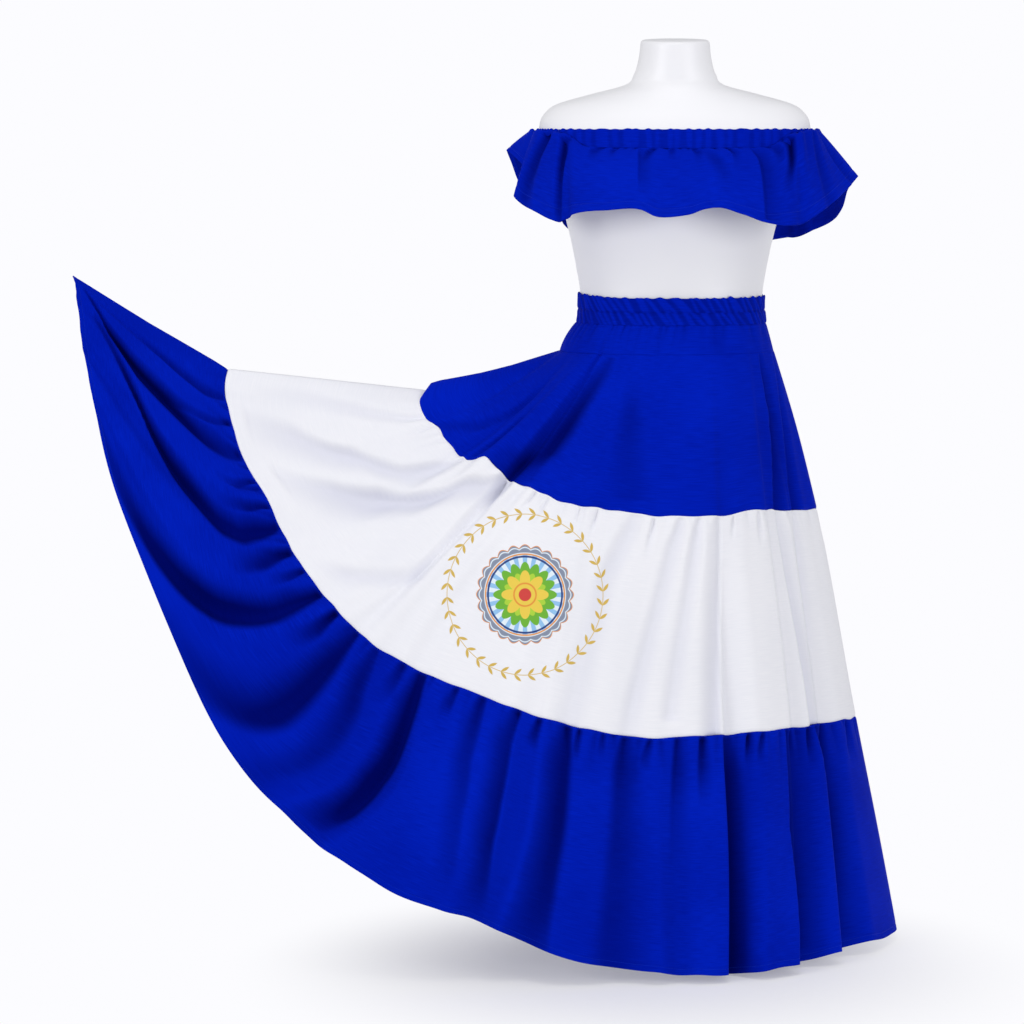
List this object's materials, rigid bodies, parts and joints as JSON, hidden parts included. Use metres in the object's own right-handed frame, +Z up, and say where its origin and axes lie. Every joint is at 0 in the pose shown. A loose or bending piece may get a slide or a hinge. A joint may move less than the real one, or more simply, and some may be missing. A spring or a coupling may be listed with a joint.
{
  "type": "nicaraguan folk dress on a dress form",
  "caption": "Two-piece folk dance dress on a limbless dress form: off-shoulder flounced top and a long tiered flag-coloured skirt held out to one side.",
  "frame": {"origin": "centre of the base plate's underside, on the floor under the form's pole", "axes": "+Z up; +X to the viewer's right, away from the lifted side of the skirt; +Y from the chest to the back"},
  "size_m": [1.2017, 0.6406, 1.3325],
  "materials": {
    "royal_blue_crepe": "matt polyester crepe with a soft satin sheen",
    "white_crepe": "matt white polyester crepe",
    "form_white": "smooth satin white",
    "stand_metal": "satin grey"
  },
  "bodies": {
    "root": {"dress_form": "form_white", "stand_base": "stand_metal", "stand_pole": "stand_metal", "top_neck_band": "royal_blue_crepe", "top_flounce_front": "royal_blue_crepe", "top_flounce_back": "royal_blue_crepe", "skirt_waistband": "royal_blue_crepe", "skirt_yoke": "royal_blue_crepe", "skirt_tier_1_front": "royal_blue_crepe", "skirt_tier_1_back": "royal_blue_crepe", "skirt_tier_2_front": "white_crepe", "skirt_tier_2_back": "white_crepe", "skirt_tier_3_front": "royal_blue_crepe", "skirt_tier_3_back": "royal_blue_crepe"}
  },
  "joints": []
}
